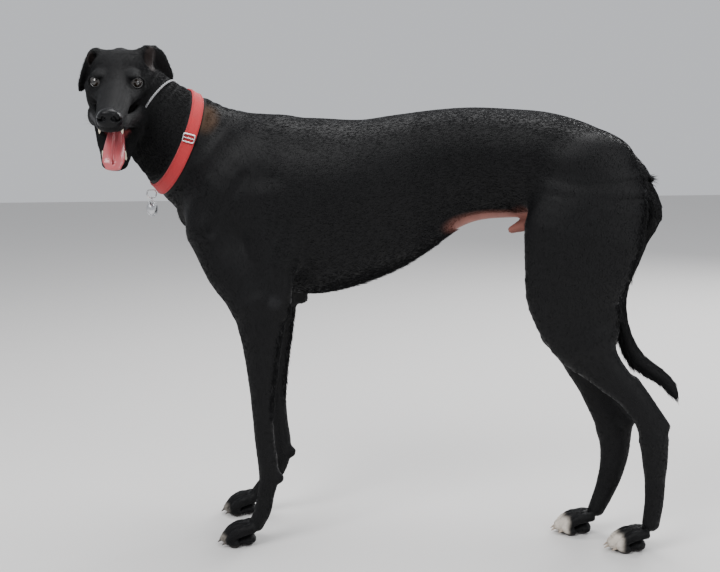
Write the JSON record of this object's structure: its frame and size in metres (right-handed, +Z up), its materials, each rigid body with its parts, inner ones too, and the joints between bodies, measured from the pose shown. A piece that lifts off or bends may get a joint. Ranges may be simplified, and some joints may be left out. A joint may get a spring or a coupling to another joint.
{
  "type": "greyhound",
  "caption": "Life-size standing greyhound as a still display model, black short coat, head turned to its left, mouth open, wearing a red collar with a tag",
  "frame": {"origin": "the middle of the bounding box at floor level, where the pads stand", "axes": "+Z up, the dog faces -X, its left side faces -Y"},
  "size_m": [0.9968, 0.3211, 0.8566],
  "materials": {
    "coat": "short flat black coat with a soft sheen",
    "nose": "moist black nose leather",
    "eyes": "wet dark brown eye",
    "tongue": "wet pink tongue",
    "collar": "red woven nylon webbing",
    "steel": "bright plated steel",
    "tag": "brushed steel disc",
    "slip_collar": "thin grey cord collar"
  },
  "bodies": {
    "root": {"torso": "coat", "neck": "coat", "head": "coat", "tail_root": "coat", "tail_middle": "coat", "tail_tip": "coat", "front_left_leg": "coat", "front_right_leg": "coat", "front_left_paw": "coat", "front_right_paw": "coat", "rear_left_thigh": "coat", "rear_right_thigh": "coat", "rear_left_shank": "coat", "rear_right_shank": "coat", "rear_left_pastern": "coat", "rear_right_pastern": "coat", "rear_left_paw": "coat", "rear_right_paw": "coat", "nose": "nose", "left_eye": "eyes", "right_eye": "eyes", "tongue": "tongue", "collar": "collar", "collar_slider": "steel", "collar_ring": "steel", "tag_link": "steel", "tag": "tag", "slip_collar": "slip_collar"}
  },
  "joints": []
}
